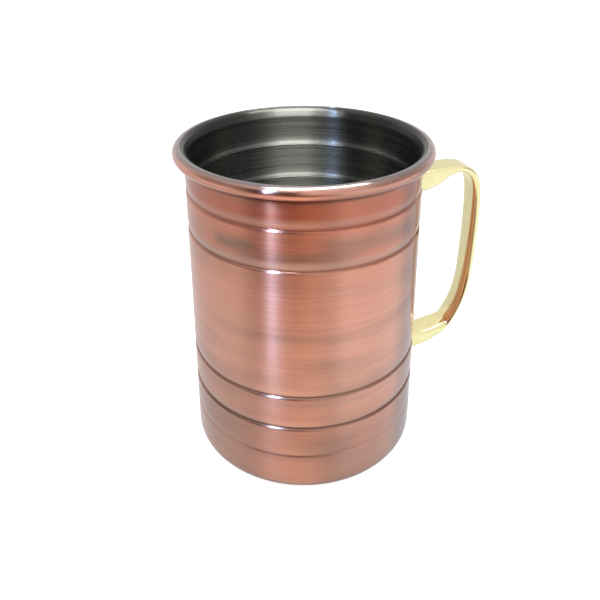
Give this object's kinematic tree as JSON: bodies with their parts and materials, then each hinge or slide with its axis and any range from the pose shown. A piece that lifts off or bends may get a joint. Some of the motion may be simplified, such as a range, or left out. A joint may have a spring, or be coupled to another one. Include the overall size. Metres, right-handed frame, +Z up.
{
  "type": "copper mug",
  "caption": "Tall straight-walled copper mug with rolled grooves and a thick rim, a pressed-in steel lining and a brass strap handle; stands on its flat base.",
  "frame": {"origin": "on the axis of the mug, in the plane of the base that it stands on", "axes": "+Z up along the axis of the mug, out of its mouth; +X from the axis to the handle"},
  "size_m": [0.1195, 0.0952, 0.126],
  "materials": {
    "copper": "spun copper, antiqued in soft bands, lacquered",
    "steel": "spun steel with fine rings",
    "brass": "polished pale brass",
    "brazing_metal": "satin, as filed and polished"
  },
  "bodies": {
    "root": {"copper_body": "copper", "steel_lining": "steel", "brass_handle": "brass", "upper_brazed_joint": "brazing_metal", "lower_brazed_joint": "brazing_metal"}
  },
  "joints": []
}
